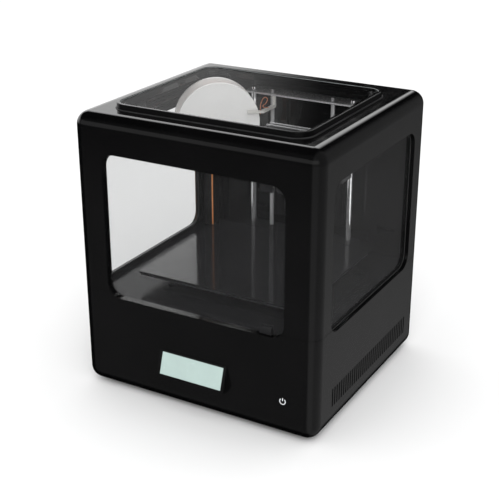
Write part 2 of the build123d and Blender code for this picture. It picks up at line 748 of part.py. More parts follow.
def y_idler(side):
    """One rear idler pulley."""
    pulley = toothed_pulley(BELT_WIDTH + 0.8) - Cylinder(SHAFT_RADIUS + RUNNING, 3 * BELT_WIDTH)
    return Pos(side * Y_BELT_X, Y_IDLER_Y, GANTRY_Z) * Rot(0, 90, 0) * pulley


def y_cross_shaft():
    """The shaft from wall to wall with a pulley at each end."""
    shaft = along_x(-INNER_X + 2, INNER_X - 2, Y_SHAFT_Y, GANTRY_Z, SHAFT_RADIUS)
    for side in (-1, 1):
        shaft += Pos(side * Y_BELT_X, Y_SHAFT_Y, GANTRY_Z) * Rot(0, 90, 0) * toothed_pulley(BELT_WIDTH + 0.8)
    return shaft


def y_motor():
    """The motor on the cross shaft, under the front of the hood."""
    return Pos(Y_MOTOR_X, Y_SHAFT_Y, GANTRY_Z) * Rot(0, 90, 0) * stepper(34.0)


def belt_loop(length):
    """A belt round two equal pulleys, in its own XY plane from x = 0 to x = length."""
    inner = PULLEY_RADIUS + BELT_CLEARANCE
    outer = inner + BELT_THICKNESS
    loop = SlotCenterToCenter(length, 2 * outer) - SlotCenterToCenter(length, 2 * inner)
    return Pos(length / 2, 0, -BELT_WIDTH / 2) * extrude(loop, BELT_WIDTH)


def y_belt(side):
    """One of the two belts that pull the gantry along Y."""
    length = Y_IDLER_Y - Y_SHAFT_Y
    standing = Rot(0, 90, 0) * Rot(0, 0, 90) * belt_loop(length)
    return Pos(side * Y_BELT_X, Y_SHAFT_Y, GANTRY_Z) * standing


def belt_clamp():
    """The clamp that closes round the upper strand of the right belt."""
    strand = GANTRY_Z + PULLEY_RADIUS + BELT_CLEARANCE
    gap = 0.35
    y_low = GANTRY_Y - 10
    y_high = GANTRY_Y + 10
    above = strand + BELT_THICKNESS + gap
    clamp = box_between(BLOCK_OUT - 1, CLAMP_OUT, y_low, y_high, strand - 3, above + 2.5)
    slot_in = Y_BELT_X - BELT_WIDTH / 2 - gap
    slot_out = Y_BELT_X + BELT_WIDTH / 2 + gap
    return clamp - box_between(slot_in, slot_out, y_low - 1, y_high + 1, strand - gap, above)


def slider_body():
    """The right-hand gantry end: bearing block, belt clamp and the foot for the bracket."""
    half = 16.0
    block = box_between(BLOCK_IN - 1, BLOCK_OUT, GANTRY_Y - half, GANTRY_Y + half, GANTRY_Z - BLOCK_HALF,
                        GANTRY_Z + BLOCK_HALF)
    block += box_between(BLOCK_IN + 1, BLOCK_OUT, GANTRY_Y - half, GANTRY_Y + half, BRACKET_LOW,
                         GANTRY_Z - BLOCK_HALF)
    block += belt_clamp()
    block -= along_y(Y_ROD_X, GANTRY_Y - 20, GANTRY_Y + 20, GANTRY_Z, Y_ROD_RADIUS + RUNNING)
    for rod_y in (GANTRY_Y - X_ROD_GAP / 2, GANTRY_Y + X_ROD_GAP / 2):
        block -= along_x(X_ROD_END - 20, X_ROD_END, rod_y, GANTRY_Z, X_ROD_RADIUS)
    return block


def slider_right():
    """The right gantry end with the plate that carries the X motor."""
    plate = box_between(X_MOTOR_X - 21, BLOCK_IN + 2, GANTRY_Y - 21, GANTRY_Y + 21, BRACKET_LOW, BRACKET_HIGH)
    plate -= upright(X_MOTOR_X, GANTRY_Y, 0, BODY_TOP, 9.0)
    return slider_body() + plate


def slider_left():
    """The left gantry end with the plate that carries the X idler."""
    half = 12.0
    plate = box_between(-BLOCK_IN - 2, X_IDLER_X + half - 1, GANTRY_Y - half, GANTRY_Y + half,
                        BRACKET_LOW, BRACKET_HIGH)
    post = upright(X_IDLER_X, GANTRY_Y, BRACKET_LOW, X_BELT_Z + 5.5, SHAFT_RADIUS)
    return mirror(slider_body(), Plane.YZ) + plate + post


def x_rods():
    """The two rods that the print head runs on."""
    return [along_x(-X_ROD_END, X_ROD_END, y, GANTRY_Z, X_ROD_RADIUS)
            for y in (GANTRY_Y - X_ROD_GAP / 2, GANTRY_Y + X_ROD_GAP / 2)]


def x_motor():
    """The motor that hangs from the right gantry end."""
    return Pos(X_MOTOR_X, GANTRY_Y, BRACKET_LOW) * stepper(34.0)


def x_drive_pulley():
    """The X motor's shaft and pulley."""
    shaft = upright(X_MOTOR_X, GANTRY_Y, BRACKET_LOW - 20, X_BELT_Z + 6, SHAFT_RADIUS)
    return shaft + Pos(X_MOTOR_X, GANTRY_Y, X_BELT_Z) * toothed_pulley(BELT_WIDTH + 0.8)


def x_idler():
    """The idler on the left gantry end."""
    pulley = toothed_pulley(BELT_WIDTH + 0.8) - Cylinder(SHAFT_RADIUS + RUNNING, 3 * BELT_WIDTH)
    return Pos(X_IDLER_X, GANTRY_Y, X_BELT_Z) * pulley


def x_belt():
    """The belt that pulls the print head along X."""
    return Pos(X_IDLER_X, GANTRY_Y, X_BELT_Z) * belt_loop(X_MOTOR_X - X_IDLER_X)


# ---------------------------------------------------------------- print head


def x_carriage():
    """The bearing block on the rods with the plate that carries the extruder."""
    beyond = 2 * CARRIAGE_LEFT
    block = box_between(CARRIAGE_LEFT, CARRIAGE_RIGHT, GANTRY_Y - CARRIAGE_HALF, GANTRY_Y + CARRIAGE_HALF,
                        CARRIAGE_LOW, CARRIAGE_TOP)
    block = chamfer(block.edges().filter_by(Axis.Z), 1.5)
    for rod_y in (GANTRY_Y - X_ROD_GAP / 2, GANTRY_Y + X_ROD_GAP / 2):
        block -= along_x(beyond, -beyond, rod_y, GANTRY_Z, X_BUSH_RADIUS)
    strand = PULLEY_RADIUS + BELT_CLEARANCE
    room = 0.5
    for side in (-1, 1):
        near = GANTRY_Y + side * (strand - room)
        far = GANTRY_Y + side * (strand + BELT_THICKNESS + room)
        block -= box_between(beyond, -beyond, min(near, far), max(near, far),
                             X_BELT_Z - BELT_WIDTH / 2 - room, X_BELT_Z + BELT_WIDTH / 2 + room)
    return block + box_between(-HEAD_PLATE_HALF, HEAD_PLATE_HALF, HEAD_BACK, HEAD_BACK + 4.5,
                               HEAD_PLATE_LOW, CARRIAGE_TOP)


def x_bushes():
    """Two plain bushes per rod in the carriage."""
    bushes = []
    for rod_y in (GANTRY_Y - X_ROD_GAP / 2, GANTRY_Y + X_ROD_GAP / 2):
        for low in (CARRIAGE_LEFT, CARRIAGE_RIGHT - X_BUSH_LENGTH):
            bush = along_x(low, low + X_BUSH_LENGTH, rod_y, GANTRY_Z, X_BUSH_RADIUS)
            bushes.append(bush - along_x(low, low + X_BUSH_LENGTH, rod_y, GANTRY_Z, X_ROD_RADIUS + RUNNING))
    return bushes


def extruder_body():
    """The housing round the drive gear, bored for the filament."""
    wall = 3.0
    inner_front = HEAD_FRONT + wall
    inner_back = HEAD_BACK - wall
    body = box_between(-27, 21, HEAD_FRONT, HEAD_BACK, EXTRUDER_LOW, EXTRUDER_HIGH)
    body -= box_between(DRIVE_AXIS_X - 7, 16, inner_front, inner_back, DRIVE_AXIS_Z - 9, DRIVE_AXIS_Z + 9)
    body -= box_between(5, 22, inner_front, inner_back, EXTRUDER_LOW + wall, EXTRUDER_HIGH + 1)
    body -= upright(0, HOTEND_Y, EXTRUDER_LOW - 1, EXTRUDER_HIGH + 1, 1.2)
    body -= along_y(DRIVE_AXIS_X, HEAD_FRONT - 1, inner_front + 1, DRIVE_AXIS_Z, 7.2)
    return body + along_y(LEVER_X, inner_front - 1, inner_back + 1, LEVER_Z, LEVER_PIN_RADIUS)


def extruder_motor():
    """The flat motor on the front of the extruder."""
    motor = Rot(-90, 0, 0) * stepper(20.0)
    return Pos(DRIVE_AXIS_X, HEAD_FRONT, DRIVE_AXIS_Z) * motor


def drive_gear():
    """The motor shaft with the toothed wheel that grips the filament."""
    shaft = along_y(DRIVE_AXIS_X, HEAD_FRONT - 15, HEAD_BACK - 4, DRIVE_AXIS_Z, SHAFT_RADIUS)
    return shaft + along_y(DRIVE_AXIS_X, HOTEND_Y - 4, HOTEND_Y + 4, DRIVE_AXIS_Z, 5.2)


def idler_lever():
    """The sprung lever that presses the filament against the drive gear."""
    half = 3.4
    y_low = HOTEND_Y - half
    y_high = HOTEND_Y + half
    left = LEVER_X - 4
    top = EXTRUDER_HIGH + 8
    arm = box_between(left, LEVER_X + 3, y_low, y_high, LEVER_Z - 4, top)
    arm += box_between(left, LEVER_X + 14, y_low, y_high, top - 3, top)
    arm -= along_y(LEVER_X, y_low - 1, y_high + 1, LEVER_Z, LEVER_PIN_RADIUS + RUNNING)
    wheel = 5.0
    return arm + along_y(FILAMENT_RADIUS + wheel + 0.725, y_low, y_high, DRIVE_AXIS_Z, wheel)


def heat_sink():
    """The finned cooler above the nozzle."""
    neck = 4.0
    core = upright(0, HOTEND_Y, HEAT_BLOCK_HIGH + neck, EXTRUDER_LOW, 4.5)
    core += upright(0, HOTEND_Y, HEAT_BLOCK_HIGH, HEAT_BLOCK_HIGH + neck + 0.5, 2.0)
    fins = 10
    fin_pitch = 3.0
    fin_sheet = 1.2
    for index in range(fins):
        low = SINK_LOW + index * fin_pitch
        core += upright(0, HOTEND_Y, low, low + fin_sheet, 11.0)
    return core - upright(0, HOTEND_Y, 0, BODY_TOP, 1.1)


def heat_block():
    """The heated block under the cooler."""
    half = 8.0
    block = box_between(-half, half + 4, HOTEND_Y - half, HOTEND_Y + half, HEAT_BLOCK_LOW, HEAT_BLOCK_HIGH)
    middle = (HEAT_BLOCK_LOW + HEAT_BLOCK_HIGH) / 2
    return block - along_y(half - 1, HOTEND_Y - half - 1, HOTEND_Y + half + 1, middle, 3.0)


def nozzle():
    """The brass nozzle."""
    hexagon_height = 2.4
    hexagon_low = HEAT_BLOCK_LOW - hexagon_height
    body = Pos(0, HOTEND_Y, hexagon_low) * extrude(RegularPolygon(4.0, 6), hexagon_height)
    tip_height = hexagon_low - NOZZLE_TIP
    tip = Pos(0, HOTEND_Y, NOZZLE_TIP + tip_height / 2) * Cone(0.6, 3.0, tip_height)
    return body + tip


def head_fan_frame():
    """The cooler's fan and the duct that joins it to the fins."""
    front = HOTEND_Y - 25
    back = front + 10
    half = 15.0
    sheet = 2.0
    middle = (SINK_LOW + EXTRUDER_LOW) / 2
    frame = facing_y(2 * half, 2 * half, front, back, 3.0, 0.0, middle)
    frame -= along_y(0, front - 1, back + 1, middle, half - 1)
    for angle in (30, 150, 270):
        frame += Pos(0, back - 1, middle) * Rot(0, angle, 0) * Pos(half / 2, 0, 0) * Box(half, sheet, sheet)
    frame += along_y(0, back - sheet, back, middle, 6)
    duct = box_between(-half, half, back, HEAD_BACK, middle - half, middle + half)
    duct -= box_between(sheet - half, half - sheet, back - 1, HEAD_BACK - 2.5,
                        middle - half - 1, middle + half + 1)
    duct -= box_between(-half - 1, half + 1, HOTEND_Y - 6, HOTEND_Y + 4, middle - 12, middle + 12)
    return frame + duct


# ---------------------------------------------------------------- spool


def spool_place():
    """The frame of the spool: Z runs along its axis towards the room, from the near flange."""
    return Pos(SPOOL_X, SPOOL_Y, SPOOL_Z) * Rot(0, 0, SPOOL_TURN) * Rot(90, 0, 0)


def spool():
    """The white spool of filament."""
    near = Pos(0, 0, -SPOOL_FLANGE / 2) * Cylinder(SPOOL_RADIUS, SPOOL_FLANGE)
    far = Pos(0, 0, SPOOL_FLANGE / 2 - SPOOL_WIDTH) * Cylinder(SPOOL_RADIUS, SPOOL_FLANGE)
    barrel = Pos(0, 0, -SPOOL_WIDTH / 2) * Cylinder(BARREL_RADIUS, SPOOL_WIDTH)
    reel = fillet((near + far).edges(), 1.0) + barrel
    bore = Pos(0, 0, -SPOOL_WIDTH / 2 - 3.0) * Cylinder(SPINDLE_RADIUS + RUNNING, SPOOL_WIDTH)
    return spool_place() * (reel - bore)


def filament_winding():
    """The filament wound on the spool, as one ring."""
    width = SPOOL_WIDTH - 2 * SPOOL_FLANGE
    ring = Pos(0, 0, -SPOOL_WIDTH / 2) * (Cylinder(WINDING_RADIUS, width) - Cylinder(BARREL_RADIUS, width))
    return spool_place() * ring


def filament_guide():
    """The pale bar in front of the flange that takes the filament, on an arm from the rear bracket."""
    section = 5.0
    half = 3.0
    bar = box_between(GUIDE_NEAR, GUIDE_FAR, GUIDE_LOW, GUIDE_LOW + section, 2.0, 6.0)
    eye = FILAMENT_RADIUS + MOVING_GAP
    bar -= along_y(GUIDE_EYE, GUIDE_LOW - 1, GUIDE_LOW + section + 1, 4.0, eye)
    corner = (spool_place() * Pos(GUIDE_FAR - 2, 0, half)).position
    low = SPOOL_Z + GUIDE_LOW
    arm_back = BRACKET_FRONT + 4
    arm = box_between(corner.X - half, corner.X + half, corner.Y - 1, arm_back, low, low + section)
    drop = box_between(corner.X - half, corner.X + half, BRACKET_FRONT, arm_back, low, Z_TOP_BRACKET)
    return spool_place() * bar + arm + drop


def filament_end():
    """The free end of the filament, a standing loop above the guide bar."""
    route = [spool_place() * Pos(*point) for point in FILAMENT_ROUTE]
    path = Spline([place.position for place in route])
    section = Plane(origin=path @ 0, z_dir=path % 0) * Circle(FILAMENT_RADIUS)
    return sweep(section, path)


def spool_post():
    """The corner post with the slanting spindle that the spool hangs on."""
    half = POST_SIZE / 2
    post = box_between(POST_X - half, POST_X + half, POST_Y - half, POST_Y + half, FLOOR_TOP, POST_TOP)
    short = 4.0
    reach = 99.0
    hub = Pos(0, 0, -(short + SPOOL_WIDTH + 1) / 2) * Cylinder(SPINDLE_RADIUS, SPOOL_WIDTH + 1 - short)
    collar = Pos(0, 0, -SPOOL_WIDTH - 2.5) * Cylinder(SPINDLE_RADIUS + 6, 4.0)
    arm = Pos(0, 0, -SPOOL_WIDTH - 1 - reach / 2) * Cylinder(7.0, reach)
    return post + spool_place() * (hub + collar + arm)


# ---------------------------------------------------------------- screws


def base_screw_places():
    """Where the base plate's screws stand."""
    x = BASE_OPENING_X / 2 + PLATE_LAP / 2
    return [(side * x, y) for side in (-1, 1) for y in (-100, 0, 100)]


def panel_screw_places():
    """Where the rear panel's screws stand."""
    return [(side * (REAR_X / 2 - 3), z) for side in (-1, 1) for z in (REAR_LOW + 8, REAR_HIGH - 8)]


def screw_holes():
    """The shanks of all the housing screws, as cutters."""
    holes = [upright(x, y, 0, FOOT_HEIGHT + 2 * WALL, SCREW_RADIUS) for x, y in base_screw_places()]
    for x, z in panel_screw_places():
        holes.append(along_y(x, INNER_Y - WALL, INNER_Y + SHANK_GRIP, z, SCREW_RADIUS))
    return holes


def housing_screws():
    """The screws that hold the base plate and the rear panel."""
    screws = []
    for x, y in base_screw_places():
        shank = upright(x, y, FOOT_HEIGHT, FOOT_HEIGHT + WALL + PLATE_SHEET, SCREW_RADIUS)
        head = upright(x, y, FOOT_HEIGHT - SCREW_HEAD_HEIGHT, FOOT_HEIGHT, SCREW_HEAD_RADIUS)
        screws.append(shank + head)
    inner = INNER_Y - PLATE_SHEET
    for x, z in panel_screw_places():
        shank = along_y(x, inner, INNER_Y + SHANK_GRIP, z, SCREW_RADIUS)
        head = along_y(x, inner - SCREW_HEAD_HEIGHT, inner, z, SCREW_HEAD_RADIUS)
        screws.append(shank + head)
    return screws


# ---------------------------------------------------------------- all pieces


def fixed_parts():
    """Everything that is bolted or bonded to the housing."""
    shell = housing_shell()
    pane = side_pane()
    return {
        "upper_housing": upper_housing(shell),
        "base_housing": base_housing(shell),
        "base_plate": base_plate(),
        "rubber_feet": rubber_feet(),
        "chamber_floor": chamber_floor(),
        "right_window": pane,
        "left_window": mirror(pane, Plane.YZ),
        "display_bezel": display_bezel(),
        "display_screen": display_screen(),
        "rear_panel": rear_panel(),
        "inlet_module": inlet_module(),
        "power_supply": power_supply(),
        "circuit_boards": [front_panel_board(), control_board()],
        "z_rods": z_rods(),
        "z_upper_bracket": z_upper_bracket(),
        "z_motors": z_motors(),
        "y_rods": y_rods(),
        "y_rod_blocks": y_rod_blocks(),
        "y_motor": y_motor(),
        "y_belts": [y_belt(-1), y_belt(1)],
        "spool_post": spool_post(),
        "filament_guide": filament_guide(),
        "filament_end": filament_end(),
        "housing_screws": housing_screws(),
    }


def moving_parts():
    """Everything that turns, slides or lifts, apart from the print head."""
    return {
        "door_pane": door_pane(),
        "door_pivots": door_pivots(),
        "lid_frame": lid_frame(),
        "lid_glass": lid_glass(),
        "power_button": power_button(),
        "switch_rocker": switch_rocker(),
        "left_lift_screw": lift_screw(-Z_SCREW_X),
        "right_lift_screw": lift_screw(Z_SCREW_X),
        "bed_carrier": bed_carrier(),
        "bed_bearings": bed_bearings(),
        "lift_nuts": lift_nuts(),
        "heated_bed": heated_bed(),
        "build_plate": build_plate(),
        "y_cross_shaft": y_cross_shaft(),
        "left_y_idler": y_idler(-1),
        "right_y_idler": y_idler(1),
        "slider_right": slider_right(),
        "slider_left": slider_left(),
        "x_rods": x_rods(),
        "x_motor": x_motor(),
        "x_belt": x_belt(),
        "x_drive_pulley": x_drive_pulley(),
        "x_idler": x_idler(),
        "spool": spool(),
        "filament_winding": filament_winding(),
    }


def head_parts():
    """The print head, drawn about its own filament axis."""
    fan_front = HOTEND_Y - 24
    fan_z = (SINK_LOW + EXTRUDER_LOW) / 2
    return {
        "x_carriage": x_carriage(),
        "x_bushes": x_bushes(),
        "extruder_body": extruder_body(),
        "extruder_motor": extruder_motor(),
        "drive_gear": drive_gear(),
        "idler_lever": idler_lever(),
        "heat_sink": heat_sink(),
        "heat_block": heat_block(),
        "nozzle": nozzle(),
        "head_fan_frame": head_fan_frame(),
        "head_fan_rotor": fan_rotor(0, fan_front, fan_front + 6, fan_z, 13.0, 6.0, 7),
    }


def main():
    os.makedirs("parts", exist_ok=True)
    for name, piece in {**fixed_parts(), **moving_parts()}.items():
        save(name, piece)
    for name, piece in head_parts().items():
        save(name, piece, HEAD_X)


main()
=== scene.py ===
import bpy
import bmesh
import json
import random
from math import cos, pi, radians, sin
from mathutils import Matrix, Vector


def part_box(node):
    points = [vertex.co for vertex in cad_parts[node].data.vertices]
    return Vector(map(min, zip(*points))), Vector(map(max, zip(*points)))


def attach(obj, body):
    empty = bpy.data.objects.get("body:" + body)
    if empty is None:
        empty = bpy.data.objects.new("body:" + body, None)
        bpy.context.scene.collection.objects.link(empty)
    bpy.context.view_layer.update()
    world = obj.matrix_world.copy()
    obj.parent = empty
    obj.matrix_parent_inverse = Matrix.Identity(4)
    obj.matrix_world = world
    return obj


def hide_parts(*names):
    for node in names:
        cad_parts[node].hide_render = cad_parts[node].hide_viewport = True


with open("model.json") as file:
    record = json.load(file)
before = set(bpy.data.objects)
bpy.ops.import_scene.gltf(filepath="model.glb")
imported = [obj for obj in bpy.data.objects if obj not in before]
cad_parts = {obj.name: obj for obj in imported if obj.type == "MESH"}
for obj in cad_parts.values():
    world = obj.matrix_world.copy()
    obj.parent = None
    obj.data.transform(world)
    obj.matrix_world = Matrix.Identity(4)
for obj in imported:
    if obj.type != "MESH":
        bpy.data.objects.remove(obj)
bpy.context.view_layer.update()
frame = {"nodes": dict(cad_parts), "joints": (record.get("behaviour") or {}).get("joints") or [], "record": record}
nodes = frame["nodes"]
joints = {joint["name"]: joint for joint in frame["joints"]}
random.seed(7)

MM = 0.001
FILAMENT_THICKNESS = 1.75 * MM
CRISP_ANGLE = radians(38)


# ---------------------------------------------------------------- materials

class Surface:
    """A node material on a Principled shader, built up step by step in object space."""

    def __init__(self, name, color, roughness, metallic=0.0, specular=0.5):
        self.material = bpy.data.materials.new(name)
        self.material.use_nodes = True
        self.tree = self.material.node_tree
        self.shader = self.tree.nodes["Principled BSDF"]
        self.color = color
        self.shader.inputs["Base Color"].default_value = (*color, 1)
        self.shader.inputs["Roughness"].default_value = roughness
        self.shader.inputs["Metallic"].default_value = metallic
        self.shader.inputs["Specular IOR Level"].default_value = specular
        self.coords = self.tree.nodes.new("ShaderNodeTexCoord").outputs["Object"]

    def node(self, kind, **values):
        made = self.tree.nodes.new(kind)
        for key, value in values.items():
            setattr(made, key, value)
        return made

    def noise(self, scale, detail=3.0, stretch=(1, 1, 1)):
        mapping = self.node("ShaderNodeMapping")
        mapping.inputs["Scale"].default_value = [scale * s for s in stretch]
        self.tree.links.new(self.coords, mapping.inputs["Vector"])
        noise = self.node("ShaderNodeTexNoise")
        noise.inputs["Scale"].default_value = 1.0
        noise.inputs["Detail"].default_value = detail
        noise.inputs["Roughness"].default_value = 0.55
        self.tree.links.new(mapping.outputs["Vector"], noise.inputs["Vector"])
        return noise.outputs["Fac"]

    def ramp(self, factor, low, high, start=0.3, end=0.7):
        ramp = self.node("ShaderNodeMapRange")
        ramp.clamp = True
        ramp.inputs["From Min"].default_value = start
        ramp.inputs["From Max"].default_value = end
        ramp.inputs["To Min"].default_value = low
        ramp.inputs["To Max"].default_value = high
        self.tree.links.new(factor, ramp.inputs["Value"])
        return ramp.outputs["Result"]

    def vary_roughness(self, scale, low, high, stretch=(1, 1, 1)):
        value = self.ramp(self.noise(scale, 4.0, stretch), low, high)
        self.tree.links.new(value, self.shader.inputs["Roughness"])
        return self

    def vary_color(self, other, scale, stretch=(1, 1, 1)):
        factor = self.ramp(self.noise(scale, 4.0, stretch), 0.0, 1.0, 0.35, 0.7)
        mix = self.node("ShaderNodeMix", data_type="RGBA")
        mix.inputs["A"].default_value = (*self.color, 1)
        mix.inputs["B"].default_value = (*other, 1)
        self.tree.links.new(factor, mix.inputs["Factor"])
        self.tree.links.new(mix.outputs["Result"], self.shader.inputs["Base Color"])
        return self

    def bump(self, scale, depth, stretch=(1, 1, 1)):
        """Relief of that depth in metres."""
        bump = self.node("ShaderNodeBump")
        bump.inputs["Strength"].default_value = 1.0
        bump.inputs["Distance"].default_value = depth
        self.tree.links.new(self.noise(scale, 2.0, stretch), bump.inputs["Height"])
        self.tree.links.new(bump.outputs["Normal"], self.shader.inputs["Normal"])
        return self

    def glow(self, color, strength):
        self.shader.inputs["Emission Color"].default_value = (*color, 1)
        self.shader.inputs["Emission Strength"].default_value = strength
        return self


def gloss_black(name):
    surface = Surface(name, (0.0012, 0.0012, 0.0013), 0.09)
    surface.vary_color((0.0022, 0.0021, 0.0023), 9.0)
    surface.vary_roughness(26.0, 0.07, 0.12)
    return surface.bump(55.0, 0.00003)


def satin_black(name):
    surface = Surface(name, (0.012, 0.012, 0.013), 0.4)
    surface.vary_color((0.02, 0.02, 0.021), 60.0)
    surface.vary_roughness(150.0, 0.33, 0.5)
    return surface.bump(900.0, 0.00004)


def textured_black(name):
    surface = Surface(name, (0.014, 0.014, 0.015), 0.5)
    surface.vary_color((0.022, 0.022, 0.023), 35.0)
    surface.vary_roughness(300.0, 0.42, 0.62)
    return surface.bump(1500.0, 0.00006)


def rubber(name):
    surface = Surface(name, (0.016, 0.016, 0.016), 0.75)
    surface.vary_color((0.03, 0.03, 0.029), 40.0)
    surface.vary_roughness(120.0, 0.65, 0.85)
    return surface.bump(700.0, 0.00008)


def steel(name, color, low, high, stretch=(1, 1, 1), metallic=1.0):
    """Machined or rolled metal, its grain drawn out where stretch is large."""
    surface = Surface(name, color, low, metallic=metallic)
    darker = tuple(0.82 * c for c in color)
    surface.vary_color(darker, 40.0, stretch)
    surface.vary_roughness(120.0, low, high, stretch)
    return surface.bump(400.0, 0.00001, stretch)


def clear_pane(name, haze, tint, mirror_low, mirror_high):
    """Thin clear sheet: light goes straight through, a film greys it and the outer face mirrors a little."""
    surface = Surface(name, (0.5, 0.5, 0.51), 0.3, specular=0.0)
    tree = surface.tree
    surface.vary_roughness(18.0, 0.25, 0.35)
    through = surface.node("ShaderNodeBsdfTransparent")
    through.inputs["Color"].default_value = (*tint, 1)
    mirror = surface.node("ShaderNodeBsdfGlossy")
    mirror.inputs["Roughness"].default_value = 0.02
    facing = surface.node("ShaderNodeLayerWeight")
    facing.inputs["Blend"].default_value = 0.5
    grazing = surface.node("ShaderNodeMath", operation="POWER")
    grazing.inputs[1].default_value = 5.0
    tree.links.new(facing.outputs["Facing"], grazing.inputs[0])
    share = surface.ramp(grazing.outputs[0], mirror_low, mirror_high, 0.0, 1.0)
    side = surface.node("ShaderNodeNewGeometry")
    outer = surface.ramp(side.outputs["Backfacing"], 1.0, 0.0, 0.0, 1.0)
    only_outer = surface.node("ShaderNodeMath", operation="MULTIPLY")
    tree.links.new(share, only_outer.inputs[0])
    tree.links.new(outer, only_outer.inputs[1])
    film = surface.node("ShaderNodeMixShader")
    amount = surface.ramp(surface.noise(7.0, 5.0), haze * 0.85, haze * 1.15)
    tree.links.new(amount, film.inputs["Fac"])
    tree.links.new(through.outputs[0], film.inputs[1])
    tree.links.new(surface.shader.outputs[0], film.inputs[2])
    top = surface.node("ShaderNodeMixShader")
    tree.links.new(only_outer.outputs[0], top.inputs["Fac"])
    tree.links.new(film.outputs[0], top.inputs[1])
    tree.links.new(mirror.outputs[0], top.inputs[2])
    tree.links.new(top.outputs[0], tree.nodes["Material Output"].inputs["Surface"])
    return surface


def window_pane():
    return clear_pane("pane_clear", haze=0.009, tint=(0.93, 0.932, 0.932), mirror_low=0.05, mirror_high=0.5)


def lid_pane():
    return clear_pane("pane_lid", haze=0.0015, tint=(0.95, 0.95, 0.95), mirror_low=0.02, mirror_high=0.25)


def build_plate_gloss():
    surface = Surface("build_plate_gloss", (0.012, 0.012, 0.013), 0.06)
    surface.vary_color((0.02, 0.02, 0.021), 12.0)
    return surface.vary_roughness(16.0, 0.04, 0.1)


def chamber_floor_gloss():
    surface = Surface("chamber_floor_gloss", (0.008, 0.008, 0.009), 0.2, specular=0.16)
    surface.vary_color((0.014, 0.014, 0.015), 14.0)
    return surface.vary_roughness(20.0, 0.16, 0.26)


def screen_pale_green():
    surface = Surface("screen_pale_green", (0.39, 0.48, 0.455), 0.22)
    surface.vary_color((0.42, 0.52, 0.49), 22.0)
    surface.vary_roughness(60.0, 0.18, 0.28)
    return surface.glow((0.47, 0.66, 0.62), 0.12)


def board_green():
    surface = Surface("board_green", (0.012, 0.09, 0.04), 0.35)
    surface.vary_color((0.008, 0.05, 0.025), 160.0)
    return surface.vary_roughness(90.0, 0.28, 0.45)


def spool_white():
    surface = Surface("spool_white", (0.88, 0.88, 0.87), 0.38)
    surface.vary_color((0.84, 0.84, 0.83), 30.0)
    surface.vary_roughness(60.0, 0.32, 0.46)
    return surface.bump(500.0, 0.00003)


def filament_copper():
    surface = Surface("filament_copper", (0.42, 0.14, 0.055), 0.28, specular=0.6)
    surface.vary_color((0.30, 0.09, 0.035), 120.0)
    return surface.vary_roughness(220.0, 0.22, 0.36)


def guide_pale():
    surface = Surface("guide_pale", (0.70, 0.69, 0.66), 0.4)
    surface.vary_color((0.62, 0.61, 0.58), 90.0)
    return surface.vary_roughness(150.0, 0.34, 0.48)


def icon_white():
    surface = Surface("icon_white", (0.85, 0.87, 0.88), 0.4)
    surface.vary_color((0.78, 0.80, 0.81), 300.0)
    surface.vary_roughness(400.0, 0.35, 0.5)
    return surface.glow((0.9, 0.95, 1.0), 0.5)


def strip_copper():
    surface = Surface("strip_copper", (0.75, 0.30, 0.10), 0.35)
    surface.vary_color((0.62, 0.22, 0.07), 80.0)
    surface.vary_roughness(150.0, 0.3, 0.45)
    # painted glow: the copper strip is no lamp, and this emission makes it show bright in the dark chamber
    return surface.glow((0.9, 0.36, 0.12), 0.18)


def lid_seal_grey():
    surface = Surface("lid_seal_grey", (0.03, 0.03, 0.031), 0.45)
    surface.vary_color((0.02, 0.02, 0.021), 40.0)
    return surface.vary_roughness(90.0, 0.4, 0.55)


def pane_edge():
    # pale grey is a painted highlight: it stands in for the glint along the pane's cut edge
    surface = Surface("pane_edge", (0.33, 0.35, 0.35), 0.25)
    surface.vary_color((0.22, 0.24, 0.24), 60.0)
    return surface.vary_roughness(90.0, 0.2, 0.3)


def studio_floor_white():
    surface = Surface("studio_floor_white", (0.94, 0.94, 0.94), 0.9, specular=0.0)
    return surface.vary_color((0.93, 0.93, 0.93), 2.0)


def make_materials():
    """One material for each material slot of the record."""
    made = {
        "gloss_shell": gloss_black("shell_gloss_black"),
        "lid_black": gloss_black("lid_gloss_black"),
        "clear_pane": window_pane(),
        "foot_rubber": rubber("foot_rubber_grey"),
        "steel_sheet": steel("sheet_steel", (0.46, 0.47, 0.48), 0.3, 0.48, (1, 12, 12)),
        "floor_black": chamber_floor_gloss(),
        "screen": screen_pale_green(),
        "circuit_board": board_green(),
        "moulded_black": textured_black("moulded_black_grain"),
        "supply_case": steel("supply_case_zinc", (0.58, 0.59, 0.60), 0.32, 0.5),
        "ground_rod": steel("ground_rod_chrome", (0.86, 0.86, 0.87), 0.06, 0.13, (1, 1, 6), 0.75),
        "bright_bracket": steel("bracket_bright", (0.72, 0.72, 0.73), 0.2, 0.34, (8, 1, 1), 0.3),
        "motor": satin_black("motor_satin_black"),
        "belt": rubber("belt_rubber_black"),
        "screw_steel": steel("screw_steel_zinc", (0.42, 0.42, 0.43), 0.3, 0.42),
        "button_cap": gloss_black("button_gloss_black"),
        "lead_screw": steel("lead_screw_steel", (0.90, 0.90, 0.91), 0.12, 0.22, (1, 1, 1), 0.6),
        "brass": steel("brass_machined", (0.72, 0.50, 0.20), 0.22, 0.38),
        "black_metal": satin_black("bracket_satin_black"),
        "heater_alloy": steel("heater_aluminium", (0.60, 0.60, 0.61), 0.3, 0.44, (14, 1, 1)),
        "plate_glass": build_plate_gloss(),
        "head_black": textured_black("head_black_grain"),
        "sink_alloy": steel("sink_aluminium_black", (0.05, 0.05, 0.052), 0.3, 0.42, (1, 1, 14)),
        "guide_pale": guide_pale(),
        "spool_white": spool_white(),
        "filament_copper": filament_copper(),
    }
    return {slot: surface.material for slot, surface in made.items()}


finish_of = make_materials()


def paint(node, material):
    for slot in nodes[node].material_slots:
        slot.material = material


